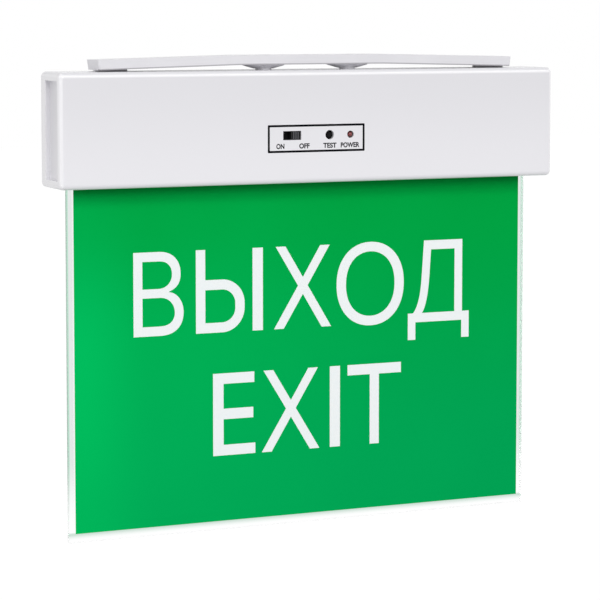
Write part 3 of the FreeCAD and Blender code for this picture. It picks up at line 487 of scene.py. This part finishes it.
def one_piece(name, parts, finish, body):
    """Joins the parts, names the piece and lets it ride on a body."""
    nothing_selected()
    for part in parts:
        part.select_set(True)
    bpy.context.view_layer.objects.active = parts[0]
    if len(parts) > 1:
        bpy.ops.object.join()
    piece = bpy.context.view_layer.objects.active
    piece.name = name
    piece.data.name = name
    piece.data.materials.clear()
    piece.data.materials.append(finishes[finish])
    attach(piece, body)
    print(name, "faces:", len(piece.data.polygons))
    return piece


# %% [markdown]
# A line of even width round a plate is a second kind of print. It starts as a flat plate. Chosen
# corners are rounded with a bevel, the rim is inset by the width of the line, and the middle is
# deleted, which leaves a ring that is thickened like the letters. One letter of the sign and the
# frame of the switch label are both made this way.


# %% A ring of print
def printed_ring(left, right, low, high, line, face, thick, corner, rounded, segments):
    """A frame of print. `rounded` says which corners get the round, by their place."""
    nothing_selected()
    bpy.ops.mesh.primitive_plane_add(size=1, rotation=(math.radians(90), 0, 0))
    ring = bpy.context.object
    ring.scale = (right - left, high - low, 1)
    ring.location = ((left + right) / 2, face - thick / 2, (low + high) / 2)
    bpy.ops.object.transform_apply(location=True, rotation=True, scale=True)
    bpy.ops.object.mode_set(mode="EDIT")
    bpy.ops.mesh.select_mode(type="VERT")
    bpy.ops.mesh.select_all(action="DESELECT")
    bpy.ops.object.mode_set(mode="OBJECT")
    for point in ring.data.vertices:
        point.select = rounded(point.co)
    bpy.ops.object.mode_set(mode="EDIT")
    bpy.ops.mesh.bevel(affect="VERTICES", offset=corner, segments=segments)
    bpy.ops.mesh.select_all(action="SELECT")
    bpy.ops.mesh.inset(thickness=line, use_even_offset=True)
    bpy.ops.mesh.delete(type="FACE")
    bpy.ops.mesh.select_all(action="SELECT")
    bpy.ops.mesh.extrude_region_move(TRANSFORM_OT_translate={"value": (0, thick, 0)})
    bpy.ops.mesh.select_all(action="SELECT")
    bpy.ops.mesh.normals_make_consistent(inside=False)
    bpy.ops.object.mode_set(mode="OBJECT")
    return ring


# %% [markdown]
# The sign says the same word in two languages, in capitals 48 mm high. Round letters stand a little
# past the line of the flat ones, and the last letter of the upper word has feet below the line, so
# every letter gets its own left, right, low and high edge. All values are millimetres. The second
# letter of the upper word is a ring with a tall stem on its left and a lone stem on its right.

# %% The two words of the sign
film_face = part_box("sign_film")[0].y
INK = 0.06 * MM

UPPER_WORD = (
    ("В", -106.2, -75.8, -159.7, -111.5),
    ("I", -68.2, -62.4, -129.0, -111.5),
    ("I", -33.0, -26.5, -159.7, -111.5),
    ("X", -19.5, 17.0, -159.7, -111.5),
    ("О", 20.5, 64.5, -160.6, -110.9),
    ("Д", 67.3, 108.2, -170.9, -111.5),
)
RING_LEFT = -68.2 * MM
RING_RIGHT = -38.0 * MM
RING_LOW = -159.7 * MM
RING_HIGH = -129.0 * MM
RING_LINE = 5.8 * MM
RING_ROUND = 14.0 * MM
RING_SEGMENTS = 16
LOWER_WORD = (
    ("E", -57.8, -31.4, -231.6, -183.6),
    ("X", -27.3, 9.5, -231.6, -183.6),
    ("I", 16.2, 22.8, -231.6, -183.6),
    ("T", 27.7, 62.8, -231.6, -183.6),
)
for name, word in (("sign_word_upper", UPPER_WORD), ("sign_word_lower", LOWER_WORD)):
    letters = [
        printed(text, *(edge * MM for edge in edges), film_face, INK) for text, *edges in word
    ]
    if name == "sign_word_upper":
        letters.append(
            printed_ring(
                RING_LEFT,
                RING_RIGHT,
                RING_LOW,
                RING_HIGH,
                RING_LINE,
                film_face,
                INK,
                RING_ROUND,
                lambda place: place.x > (RING_LEFT + RING_RIGHT) / 2,
                RING_SEGMENTS,
            )
        )
    one_piece(name, letters, "ink_white", "light")

# %% [markdown]
# ## Switch label
# The controls sit in a thin printed frame with a word under each. All four corners of the frame
# have the same small round.

# %% The frame line of the label
housing_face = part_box("front_housing")[0].y
LABEL_WIDTH = 61.0 * MM
LABEL_HEIGHT = 16.0 * MM
LABEL_MIDDLE = -47.8 * MM
LINE = 1.25 * MM
LABEL_INK = 0.03 * MM
LABEL_ROUND = 0.5 * MM
LABEL_SEGMENTS = 4

line = printed_ring(
    -LABEL_WIDTH / 2,
    LABEL_WIDTH / 2,
    LABEL_MIDDLE - LABEL_HEIGHT / 2,
    LABEL_MIDDLE + LABEL_HEIGHT / 2,
    LINE,
    housing_face,
    LABEL_INK,
    LABEL_ROUND,
    lambda place: True,
    LABEL_SEGMENTS,
)
one_piece("label_line", [line], "ink_black", "light")

# %% [markdown]
# The words name what the controls do. They are plain function words in small capitals.

# %% The words of the label
LABEL_WORDS = (
    ("ON", -25.2, -20.2),
    ("OFF", -10.9, -4.4),
    ("TEST", 4.2, 12.6),
    ("POWER", 15.3, 27.2),
)
WORD_LOW = -53.6 * MM
WORD_HIGH = -50.6 * MM
WORD_WEIGHT = 0.035
words = [
    printed(
        text, left * MM, right * MM, WORD_LOW, WORD_HIGH, housing_face, LABEL_INK, WORD_WEIGHT
    )
    for text, left, right in LABEL_WORDS
]
one_piece("label_words", words, "ink_black", "light")

# %% [markdown]
# ## Screws on the back
# Four pan head screws hold the rear cover. A head starts as a short cylinder. Its rim is bevelled
# into a crown, and a cross shaped recess is sunk with a boolean. One screw is modelled and copied
# to the other three places, each copy with its own mesh.

# %% One cross recessed screw
screws_low, screws_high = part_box("rear_cover_screws")
HEAD_RADIUS = 2.7 * MM
HEAD_HEIGHT = 1.7 * MM
HEAD_TOP = screws_high.y
HEAD_SIDES = 40
CROWN = 0.9 * MM
CROWN_SEGMENTS = 5
RIM_REACH = 0.01 * MM


def upright_cylinder(radius, depth, middle, sides):
    """A cylinder whose axis points to the back."""
    nothing_selected()
    bpy.ops.mesh.primitive_cylinder_add(
        vertices=sides, radius=radius, depth=depth, rotation=(math.radians(-90), 0, 0)
    )
    made = bpy.context.object
    made.location = middle
    bpy.ops.object.transform_apply(location=True, rotation=True, scale=True)
    return made


head = upright_cylinder(HEAD_RADIUS, HEAD_HEIGHT, (0, HEAD_TOP - HEAD_HEIGHT / 2, 0), HEAD_SIDES)
bpy.ops.object.mode_set(mode="EDIT")
bpy.ops.mesh.select_all(action="DESELECT")
bpy.ops.object.mode_set(mode="OBJECT")
for edge in head.data.edges:
    ends = [head.data.vertices[corner].co.y for corner in edge.vertices]
    edge.select = min(ends) > HEAD_TOP - RIM_REACH
bpy.ops.object.mode_set(mode="EDIT")
bpy.ops.mesh.select_mode(type="EDGE")
bpy.ops.mesh.bevel(offset=CROWN, segments=CROWN_SEGMENTS)
bpy.ops.object.mode_set(mode="OBJECT")
print("screw head faces:", len(head.data.polygons))

# %% The cross recess
CROSS_LENGTH = 3.0 * MM
CROSS_WIDTH = 0.7 * MM
CROSS_DEPTH = 1.0 * MM
CROSS_TAPER = 0.55
CROSS_TURN = 20


def recess_arm(turn):
    """One arm of the cross, narrower at its foot than at its mouth."""
    nothing_selected()
    bpy.ops.mesh.primitive_cube_add(size=1)
    arm = bpy.context.object
    arm.scale = (CROSS_LENGTH, 2 * CROSS_DEPTH, CROSS_WIDTH)
    arm.rotation_euler = (0, math.radians(turn), 0)
    arm.location = (0, HEAD_TOP, 0)
    bpy.ops.object.transform_apply(location=True, rotation=True, scale=True)
    bpy.ops.object.mode_set(mode="EDIT")
    bpy.ops.mesh.select_all(action="DESELECT")
    bpy.ops.object.mode_set(mode="OBJECT")
    for face in arm.data.polygons:
        face.select = face.normal.y < -0.9
    bpy.ops.object.mode_set(mode="EDIT")
    bpy.ops.mesh.select_mode(type="FACE")
    bpy.ops.transform.resize(value=(CROSS_TAPER, 1, CROSS_TAPER))
    bpy.ops.object.mode_set(mode="OBJECT")
    return arm


for turn in (CROSS_TURN, CROSS_TURN + 90):
    arm = recess_arm(turn)
    nothing_selected()
    bpy.context.view_layer.objects.active = head
    head.select_set(True)
    cut = head.modifiers.new("cross", "BOOLEAN")
    cut.operation = "DIFFERENCE"
    cut.object = arm
    cut.solver = "EXACT"
    bpy.ops.object.modifier_apply(modifier="cross")
    bpy.data.objects.remove(arm)
print("screw head with recess, faces:", len(head.data.polygons))

# %% Four screws in their places
SCREW_X = screws_high.x - HEAD_RADIUS
SCREW_Z = (screws_high.z - HEAD_RADIUS, screws_low.z + HEAD_RADIUS)
SHANK_RADIUS = 1.4 * MM
SHANK_SIDES = 16
SHANK_TOP = HEAD_TOP - HEAD_HEIGHT
SMOOTH_BELOW = 35
shank = upright_cylinder(
    SHANK_RADIUS,
    SHANK_TOP - screws_low.y,
    (0, (SHANK_TOP + screws_low.y) / 2, 0),
    SHANK_SIDES,
)
nothing_selected()
head.select_set(True)
shank.select_set(True)
bpy.context.view_layer.objects.active = head
bpy.ops.object.join()
heads = [head]
places = [(side * SCREW_X, level) for side in (-1, 1) for level in SCREW_Z]
for x, z in places[1:]:
    copied = head.copy()
    copied.data = head.data.copy()
    bpy.context.collection.objects.link(copied)
    copied.location = (x, 0, z)
    heads.append(copied)
head.location = (places[0][0], 0, places[0][1])
nothing_selected()
for screw in heads:
    screw.select_set(True)
bpy.context.view_layer.objects.active = head
bpy.ops.object.transform_apply(location=True, rotation=True, scale=True)
for screw in heads:
    screw.select_set(True)
bpy.ops.object.shade_smooth_by_angle(angle=math.radians(SMOOTH_BELOW))
cross_screws = one_piece("cross_head_screws", heads, "screw_steel", "light")
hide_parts("rear_cover_screws")

# %% [markdown]
# ## Studio
# The light hangs in a plain white studio. The floor is well below it, as under a ceiling, so the
# light can also be looked at from below. The floor is pale and keeps the shadow: four parts of
# glow and one part of shaded floor add up to white. Glossy and clear surfaces see the same white,
# so the acrylic stays clear. The object itself is lit more gently than that white, so that its own
# colours hold.

# %% What the camera sees
WHITE = (1, 1, 1, 1)


def seen(finish):
    """1 where the camera looks, straight, mirrored or through a clear sheet, and 0 for light."""
    camera_ray, glossy_ray, clear_ray = (
        finish.node("ShaderNodeLightPath", output=f"Is {kind} Ray")
        for kind in ("Camera", "Glossy", "Transmission")
    )
    return finish.maths_of("MINIMUM", camera_ray + glossy_ray + clear_ray, 1.0)


# %% Floor
FLOOR_LEVEL = cad_box[0].z - 1.6
FLOOR_SIZE = 60
GLOW_SHARE = 0.8
GLOW_STRENGTH = 1.15

nothing_selected()
bpy.ops.mesh.primitive_plane_add(size=FLOOR_SIZE, location=(0, 0, FLOOR_LEVEL))
floor = bpy.context.object
floor.name = "floor"
bpy.ops.object.transform_apply(location=True)
ground = Finish(
    "floor_pale", Base_Color=(0.86, 0.86, 0.87, 1.0), Roughness=0.9, Specular_IOR_Level=0.0
)
glow = ground.node("ShaderNodeEmission", None, {"Color": WHITE, "Strength": GLOW_STRENGTH})
shaded_floor = Wire(ground, ground.shader.outputs[0])
blend = ground.node(
    "ShaderNodeMixShader", None, {0: GLOW_SHARE * seen(ground), 1: shaded_floor, 2: glow}
)
ground.feed(ground.tree.nodes["Material Output"].inputs["Surface"], blend)
floor.data.materials.append(ground.material)
print("floor at", round(FLOOR_LEVEL, 3), "m")

# %% [markdown]
# The room is a world shader. It has the same kind of nodes as a finish, so a small class on top of
# Finish wires it. Seen by the camera the room is white, and as light it is weaker.


# %% Room light
class Room(Finish):
    """The world's background, wired with the tools of a finish."""

    def __init__(self, name):
        self.world = bpy.data.worlds.new(name)
        self.world.use_nodes = True
        self.tree = self.world.node_tree
        self.shader = self.tree.nodes["Background"]


AMBIENT = 0.565
room = Room("studio")
room.give("Color", WHITE)
room.give("Strength", AMBIENT + (1 - AMBIENT) * seen(room))
bpy.context.scene.world = room.world
print("room light:", AMBIENT)

# %% [markdown]
# Three soft boxes shape the object. The key stands in front, a little to the left and above, so
# the front is the brightest side and the overhang shades the top of the film. A tall strip on the
# left lights the end of the housing. A long strip in front, above and to the right, is mirrored by
# the rounded top edge.


# %% Soft boxes
def soft_box(name, place, aim, width, height, power):
    """A rectangular lamp aimed at a place, with its sides in metres and its power in watts."""
    lamp = bpy.data.lights.new(name, "AREA")
    lamp.shape = "RECTANGLE"
    lamp.size = width
    lamp.size_y = height
    lamp.energy = power
    holder = bpy.data.objects.new(name, lamp)
    bpy.context.scene.collection.objects.link(holder)
    holder.location = place
    holder.rotation_euler = (Vector(aim) - Vector(place)).to_track_quat("-Z", "Y").to_euler()


AIM = (0, 0, -0.13)
soft_box("key", (-0.35, -1.8, 0.95), AIM, width=1.0, height=0.7, power=13.2)
soft_box("left_strip", (-1.9, -0.75, 0.1), AIM, width=0.14, height=1.6, power=5)
soft_box("edge_strip", (0.8, -1.5, 0.95), AIM, width=1.4, height=0.4, power=4.5)

# %% [markdown]
# ## Camera
# The camera looks from the left with a long lens, nearly level. A small vertical shift keeps the
# upright edges close to parallel while the light sits in the middle of the frame.

# %% Camera
YAW = 23.714
PITCH = 4.642
lens = bpy.data.cameras.new("camera")
lens.lens = 144.61
lens.sensor_width = 36
lens.shift_y = -0.16
lens.clip_start = 0.01
lens.clip_end = 60
camera = bpy.data.objects.new("camera", lens)
bpy.context.scene.collection.objects.link(camera)
camera.location = (-0.56596, -1.28066, 0.02666)
camera.rotation_euler = (math.radians(90 - PITCH), 0, math.radians(-YAW))
bpy.context.scene.camera = camera
bpy.context.scene.view_settings.view_transform = "Standard"
print("camera at", tuple(round(value, 3) for value in camera.location))

# %% [markdown]
# ## Bringing the scene up to date
# The view layer is updated, so every change above is in place.

# %% Update the view layer
bpy.context.view_layer.update()
